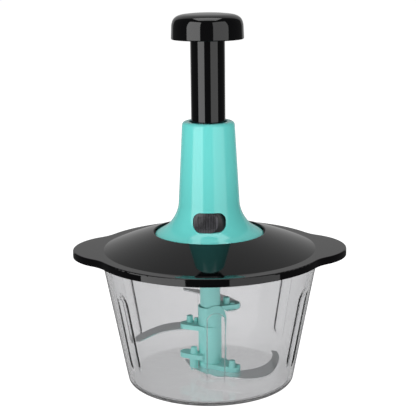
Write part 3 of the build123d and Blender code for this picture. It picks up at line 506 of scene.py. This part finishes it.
# ---------------------------------------------------------------------------
# Rivets and pegs. Turquoise ABS posts that hold the blades under the lugs,
# their heads standing up with a small rounded edge.
# ---------------------------------------------------------------------------
# radius at the foot, radius at the top, height
RIVET = (2.7, 2.45, 5.4)
RIVET_FOOT = (2.7, 2.7, 0.8)
TALL_PEG = (1.6, 1.6, 3.4)
LOW_PEG = (1.9, 1.9, 1.0)
POST_EDGE = 0.7
POST_STEPS = 48
BLADE_THICKNESS = 1.2
# distance and angle of each lug's rivet, then of the pegs
RIVET_PLACES = ((13.7, 17.7), (17.0, 163.9), (14.0, 199.2), (23.3, -44.7))
PEGS = (
    (18.1, 10.0, LUGS[0], LOW_PEG),
    (12.3, 157.6, LUGS[1], TALL_PEG),
    (25.7, -34.4, LUGS[3], LOW_PEG),
)

blade_tops = (LUGS[0][0] - LUG_THICKNESS, LUGS[1][0] - LUG_THICKNESS, BLADE_LEVEL, BLADE_LEVEL)
posts = [(*place, lug[0], RIVET) for place, lug in zip(RIVET_PLACES, LUGS)]
posts += [
    (*place, top - BLADE_THICKNESS - RIVET_FOOT[2], RIVET_FOOT)
    for place, top in zip(RIVET_PLACES, blade_tops)
]
posts += [(distance, angle, lug[0], peg) for distance, angle, lug, peg in PEGS]
for number, (distance, angle, foot, (wide, narrow, height)) in enumerate(posts):
    edge = min(POST_EDGE, 0.6 * height)
    post = turned(
        [(0, foot), (wide, foot)]
        + corner((narrow - edge, foot + height - edge), edge, 0, 90, 5)
        + [(0, foot + height)],
        POST_STEPS,
    )
    bmesh.ops.translate(post, verts=post.verts, vec=Vector((*place_at(distance, angle), 0)) * MM)
    finished(f"blade_post_{number}", post, hub_abs, "blade_unit", ["blade_pins"])


# ---------------------------------------------------------------------------
# Blades. Stamped 1.2 mm stainless strip, ground and polished, with a narrow
# ground edge all round.
# ---------------------------------------------------------------------------
GROUND_EDGE = 0.5


def polished_steel():
    """Polished stainless strip: mirror-like, with faint grinding lines along X
    about half a millimetre apart."""
    material, shader = new_material("polished_stainless")
    place = add_node(material, "ShaderNodeTexCoord").outputs["Object"]
    drawn = add_node(material, "ShaderNodeMapping", {"Vector": place}, Scale=(60.0, 2200.0, 2200.0))
    lines = add_node(
        material, "ShaderNodeTexNoise", {"Vector": drawn.outputs["Vector"]}, Scale=1.0, Detail=2.0
    )
    rough = add_node(
        material, "ShaderNodeMapRange", {"Value": lines.outputs["Fac"]}, To_Min=0.1, To_Max=0.2
    )
    material.node_tree.links.new(rough.outputs["Result"], shader.inputs["Roughness"])
    shader.inputs["Base Color"].default_value = linear("#eef0f1")
    shader.inputs["Metallic"].default_value = 0.6
    return material


def ground_blade(node):
    """A merged copy of a blade's mesh, its edges ground at a slant."""
    mesh = bmesh.new()
    mesh.from_mesh(nodes[node].data)
    bmesh.ops.remove_doubles(mesh, verts=mesh.verts, dist=1e-6)
    bmesh.ops.dissolve_limit(mesh, angle_limit=radians(0.5), verts=mesh.verts, edges=mesh.edges)
    blade = finished(node + "_ground", mesh, blade_steel, "blade_unit", [node])
    soften(blade, GROUND_EDGE, 1)


blade_steel = polished_steel()
for name in ("upper_blade", "middle_blade", "lower_blade"):
    ground_blade(name)


# ---------------------------------------------------------------------------
# Lid. Gloss black ABS moulding: a shallow dome on a flat rim with two thumb
# ears, a sunk seat for the housing, and a plug ring with a soft seal.
# ---------------------------------------------------------------------------
black_abs = moulded("black_abs", "#060607", "#040405", (0.03, 0.06), 0.006, 1.42)
for name in ("lid_shell", "gear_cover", "guide_bush"):
    dress(name, black_abs)


def silicone():
    """Clear-grey silicone, moulded: a soft sheen with a haze about 17 mm across,
    and a little light comes through."""
    material, shader = new_material("silicone")
    place = add_node(material, "ShaderNodeTexCoord").outputs["Object"]
    haze = add_node(material, "ShaderNodeTexNoise", {"Vector": place}, Scale=60.0, Detail=2.0)
    rough = add_node(
        material, "ShaderNodeMapRange", {"Value": haze.outputs["Fac"]}, To_Min=0.45, To_Max=0.6
    )
    material.node_tree.links.new(rough.outputs["Result"], shader.inputs["Roughness"])
    shader.inputs["Base Color"].default_value = linear("#c9cccc")
    shader.inputs["Transmission Weight"].default_value = 0.4
    shader.inputs["IOR"].default_value = 1.42
    return material


dress("lid_seal", silicone())


# ---------------------------------------------------------------------------
# Housing. Gloss turquoise ABS moulding, screwed into the lid's seat from
# below: a flared foot, a long tapered neck, a rounded collar round the tube.
# ---------------------------------------------------------------------------
HOUSING_FOOT = (42.0, 116.2)
HOUSING_EDGE = 1.0
FLARE = ((41.4, 118.1, 32.0), (33.39, 123.0, 38.0), (27.36, 130.2, 59.0), (23.5, 142.5, 87.0))
HOUSING_WALL = 2.2
HOUSING_MOUTH = 40.2
HOUSING_STEPS = 256
NECK_TOP = (20.0, 204.8)
NECK_TOP_WALL = 1.2
COLLAR_ROUND = 3.0
COLLAR_EASE = 0.15
COLLAR_HOLE = 14.4
COLLAR_HOLE_ROUND = 0.6
COLLAR_LIP = 2.2
HOUSING_SLEEVE = (15.9, 186.2)
WINDOW_WIDTH = 24.9
WINDOW = (124.4, 138.2)
WINDOW_CORNER = 5.9
WINDOW_STEPS = 64
WINDOW_REACH = (-50.0, -10.0)


def faired(marks, inset=0.0, count=10):
    """Smooth line through (radius, height, slope) marks, moved inwards."""
    spots = [
        Vector((r - inset * sin(radians(a)), z - inset * cos(radians(a)))) for r, z, a in marks
    ]
    ways = [Vector((-cos(radians(a)), sin(radians(a)))) for r, z, a in marks]
    line = []
    for p, q, wp, wq in zip(spots, spots[1:], ways, ways[1:]):
        reach = (q - p).length / 3
        span = interpolate_bezier(
            p.to_3d(), (p + wp * reach).to_3d(), (q - wq * reach).to_3d(), q.to_3d(), count + 1
        )
        line += [(v.x, v.y) for v in span[:-1]]
    return line + [tuple(spots[-1])]


turquoise_abs = moulded("turquoise_abs", "#6cd3cd", "#68cfc9", (0.08, 0.13), 0.012)


def housing_section():
    """Half section of the housing, round its wall."""
    top, under = NECK_TOP[1], NECK_TOP[1] - COLLAR_LIP
    shoulder = (NECK_TOP[0] - COLLAR_ROUND + COLLAR_EASE, top - COLLAR_ROUND)
    rim = (COLLAR_HOLE + COLLAR_HOLE_ROUND, top - COLLAR_HOLE_ROUND)
    line = [HOUSING_FOOT, (HOUSING_FOOT[0], HOUSING_FOOT[1] + HOUSING_EDGE)]
    line += faired(FLARE)
    line += corner(shoulder, COLLAR_ROUND, 3, 90, 8)
    line += corner(rim, COLLAR_HOLE_ROUND, 90, 180, 3)
    line += [(COLLAR_HOLE, under), (HOUSING_SLEEVE[0], under), HOUSING_SLEEVE]
    line += [(NECK_TOP[0] - NECK_TOP_WALL, HOUSING_SLEEVE[1])]
    line += list(reversed(faired(FLARE, HOUSING_WALL)))[:-1]
    return line + [(HOUSING_MOUTH, HOUSING_FOOT[1])]


def window_hole():
    """A pill-shaped cutter that reaches in from the front."""
    mesh = bmesh.new()
    half_width, middle = WINDOW_WIDTH / 2 - WINDOW_CORNER, (WINDOW[0] + WINDOW[1]) / 2
    half_height = (WINDOW[1] - WINDOW[0]) / 2 - WINDOW_CORNER
    for x in (-half_width, half_width):
        for z in (middle - half_height, middle + half_height):
            for y in WINDOW_REACH:
                spot = Matrix.Translation(Vector((x, y, z)) * MM) @ Matrix.Rotation(pi / 2, 4, "X")
                bmesh.ops.create_circle(
                    mesh, cap_ends=False, radius=WINDOW_CORNER * MM, segments=WINDOW_STEPS, matrix=spot
                )
    keep_hull(mesh)
    return mesh


housing_mesh = turned(housing_section(), HOUSING_STEPS, closed=True)
housing = finished("housing_shell", housing_mesh, turquoise_abs, "lid", ["housing"])
carve(housing, cutter_of(window_hole(), "window_hole"))


# ---------------------------------------------------------------------------
# Lock switch. Dark grey ABS pad with fine upright ribs, sliding in a dark
# track behind the window.
# ---------------------------------------------------------------------------
SWITCH_RIB_PITCH = 1.25
# how far the ribs reach to the right of the middle
SWITCH_RIBS_END = 5.0
# painted shade: the near-black colour laid in the rib grooves stands in for the shade that falls there
SWITCH_GROOVE_SHADE = "#020203"


def paint_groove_shade(material):
    """Paints shade into the pad's colour: near-black bands in the groove between each pair of upright
    ribs, only on the part with ribs.
    """
    shader = material.node_tree.nodes["Principled BSDF"]
    plain = shader.inputs["Base Color"].links[0].from_socket
    place = add_node(material, "ShaderNodeTexCoord").outputs["Object"]
    wave = add_node(
        material,
        "ShaderNodeTexWave",
        {"Vector": place},
        bands_direction="X",
        Scale=wave_scale(SWITCH_RIB_PITCH),
    )
    across = add_node(material, "ShaderNodeSeparateXYZ", {"Vector": place}).outputs["X"]
    padded = add_node(material, "ShaderNodeMath", {0: across}, operation="LESS_THAN")
    padded.inputs[1].default_value = SWITCH_RIBS_END * MM
    groove_shade_mask = add_node(
        material, "ShaderNodeMath", {0: wave.outputs["Fac"], 1: padded.outputs[0]}, operation="MULTIPLY"
    )
    groove_shade = add_node(
        material, "ShaderNodeMix", {"Factor": groove_shade_mask.outputs[0], 6: plain}, data_type="RGBA"
    )
    groove_shade.inputs[7].default_value = linear(SWITCH_GROOVE_SHADE)
    material.node_tree.links.new(groove_shade.outputs[2], shader.inputs["Base Color"])
    return material


# the switch pad's colour carries painted shade in the grooves between its ribs
switch_abs = paint_groove_shade(moulded("switch_abs", "#454449", "#414045", (0.34, 0.42), 0.06))
track_abs = moulded("track_abs", "#1f2022", "#1c1d1f", (0.3, 0.38), 0.05)
dress("lock_slider", switch_abs)
dress("switch_track", track_abs)


# ---------------------------------------------------------------------------
# Acetal running parts. Natural white POM bushes, nut, washers and rings, a
# waxy plastic with a dull sheen.
# ---------------------------------------------------------------------------
natural_pom = moulded("natural_pom", "#dcdcd6", "#d6d6d0", (0.38, 0.46), 0.03)
for name in (
    "spindle_bush", "thrust_washer", "lock_carrier", "lock_ring", "spring_seat",
    "drive_nut", "plunger_foot", "knob_plug", "hub_bush",
):
    dress(name, natural_pom)


dress("clutch_spring", steel)
spring_mesh = bmesh.new()
spring_mesh.from_mesh(nodes["return_spring"].data)
spring = finished("return_spring_wire", spring_mesh, steel, "lid", ["return_spring"], angle=60)
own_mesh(spring)


# ---------------------------------------------------------------------------
# Spindle. Turquoise ABS sleeve that reaches down into the hub.
# ---------------------------------------------------------------------------
dress("spindle", hub_abs)


# ---------------------------------------------------------------------------
# Plunger. Gloss black ABS tube and a domed push knob pressed on its end.
# ---------------------------------------------------------------------------
TUBE_RADIUS = 13.05
TUBE_BORE = 10.95
TUBE_ENDS = (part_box("plunger_tube")[0][2] / MM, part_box("plunger_tube")[1][2] / MM)
PLUNGER_STEPS = 192
KNOB_FOOT = (27.4, 266.5)
KNOB_ROUND = 0.9
# radius, height and slope along the knob's outside
KNOB_MARKS = (
    (27.04, 276.0, 88.0), (25.95, 280.6, 66.0), (22.5, 283.8, 26.0), (13.9, 285.5, 6.0), (4.0, 286.0, 0.0),
)
KNOB_WALL = 2.4
KNOB_SOCKET_TOP = 283.2
KNOB_STOP = (10.35, 278.6)
KNOB_COLLAR = (14.95, 268.0)
KNOB_COLLAR_TOP = 283.0


def knob_section():
    """Half section of the knob, with the collar that grips the tube."""
    line = corner((KNOB_FOOT[0] - KNOB_ROUND, KNOB_FOOT[1] + KNOB_ROUND), KNOB_ROUND, -90, 0, 4)
    line += faired(KNOB_MARKS, count=8) + [(0, KNOB_MARKS[-1][1])]
    line += [(0, KNOB_SOCKET_TOP), (KNOB_STOP[0], KNOB_SOCKET_TOP), KNOB_STOP]
    line += [(TUBE_RADIUS, KNOB_STOP[1]), (TUBE_RADIUS, KNOB_COLLAR[1])]
    line += [KNOB_COLLAR, (KNOB_COLLAR[0], KNOB_COLLAR_TOP)]
    line += [spot for spot in reversed(faired(KNOB_MARKS, KNOB_WALL, 6)) if spot[0] > KNOB_COLLAR[0] + 1]
    return line + [(KNOB_FOOT[0] - KNOB_WALL, KNOB_FOOT[1])]


knob_abs = moulded("knob_abs", "#060607", "#040405", (0.04, 0.08), 0.01)
tube_section = [
    (TUBE_RADIUS, TUBE_ENDS[0]),
    (TUBE_RADIUS, TUBE_ENDS[1]),
    (TUBE_BORE, TUBE_ENDS[1]),
    (TUBE_BORE, TUBE_ENDS[0]),
]
tube_mesh = turned(tube_section, PLUNGER_STEPS, closed=True)
finished("tube_shell", tube_mesh, knob_abs, "plunger", ["plunger_tube"])
knob_mesh = turned(knob_section(), PLUNGER_STEPS)
finished("knob_shell", knob_mesh, knob_abs, "plunger", ["knob_cap"])


# ---------------------------------------------------------------------------
# Studio. A plain pale floor, two tall softboxes in front, one above and a
# tall backdrop behind. All are in metres.
# ---------------------------------------------------------------------------
FLOOR_HALF = 14.0
BOX_DISTANCE = 1.6
BOX_LEVEL = 0.5
BOX_HEIGHT = 2.4
TOP_BOX = 1.5
WORLD_GLOW = 0.07

floor_mesh = bmesh.new()
bmesh.ops.create_grid(floor_mesh, x_segments=1, y_segments=1, size=FLOOR_HALF)
floor_data = bpy.data.meshes.new("floor")
floor_mesh.to_mesh(floor_data)
floor_mesh.free()
floor = bpy.data.objects.new("floor", floor_data)
bpy.context.scene.collection.objects.link(floor)
pale, floor_shader = new_material("pale_floor")
floor_shader.inputs["Base Color"].default_value = linear("#898989")
floor_shader.inputs["Roughness"].default_value = 0.9
floor_shader.inputs["Specular IOR Level"].default_value = 0.0
floor_shader.inputs["Emission Color"].default_value = linear("#ffffff")
floor_shader.inputs["Emission Strength"].default_value = 1.0
floor_data.materials.append(pale)
floor.visible_glossy = False


def softbox(name, place, target, width, height, radiance):
    """An even rectangular light of one brightness, turned to a point."""
    lamp = bpy.data.lights.new(name, "AREA")
    lamp.shape = "RECTANGLE"
    lamp.size = width
    lamp.size_y = height
    lamp.energy = radiance * pi * width * height
    holder = bpy.data.objects.new(name, lamp)
    holder.location = place
    holder.visible_camera = False
    holder.rotation_euler = (Vector(target) - Vector(place)).to_track_quat("-Z", "Y").to_euler()
    bpy.context.scene.collection.objects.link(holder)


def tall_box(name, azimuth, spread, radiance):
    """A tall softbox at an azimuth from the front, positive to the right, as
    wide as an angle seen from the object."""
    place = (BOX_DISTANCE * sin(radians(azimuth)), -BOX_DISTANCE * cos(radians(azimuth)), BOX_LEVEL)
    width = 2 * BOX_DISTANCE * tan(radians(spread / 2))
    softbox(name, place, (0, 0, BOX_LEVEL), width, BOX_HEIGHT, radiance)


tall_box("left_box", azimuth=-45.5, spread=45, radiance=3.0)
tall_box("right_box", azimuth=43.5, spread=51, radiance=1.5)
softbox("top_box", (0, 0, 2.2), (0, 0, 0), width=TOP_BOX, height=TOP_BOX, radiance=2.6)
softbox("backdrop", (0, 2.4, 2.6), (0, 0, 2.6), width=4.0, height=6.2, radiance=0.38)

world = bpy.data.worlds.new("studio")
bpy.context.scene.world = world
world.use_nodes = True
world.node_tree.nodes["Background"].inputs["Color"].default_value = linear("#ffffff")
world.node_tree.nodes["Background"].inputs["Strength"].default_value = WORLD_GLOW
bpy.context.scene.view_settings.view_transform = "Standard"


# ---------------------------------------------------------------------------
# Camera. A long lens, a little above the knob, looking down at the bowl.
# ---------------------------------------------------------------------------
SENSOR_WIDTH = 36.0
IMAGE_WIDTH = 416
FOCAL_PIXELS = 1100
CAMERA_PLACE = (-0.00094, -0.8301, 0.3251)
CAMERA_PITCH = 12.77
CAMERA_ROLL = 0.6
camera_data = bpy.data.cameras.new("camera")
camera_data.sensor_width = SENSOR_WIDTH
camera_data.lens = FOCAL_PIXELS / IMAGE_WIDTH * SENSOR_WIDTH
camera_data.clip_end = 100
camera = bpy.data.objects.new("camera", camera_data)
pitch = Matrix.Rotation(radians(90 - CAMERA_PITCH), 4, "X")
roll = Matrix.Rotation(radians(-CAMERA_ROLL), 4, "Z")
camera.matrix_world = Matrix.Translation(CAMERA_PLACE) @ pitch @ roll
bpy.context.scene.collection.objects.link(camera)
bpy.context.scene.camera = camera
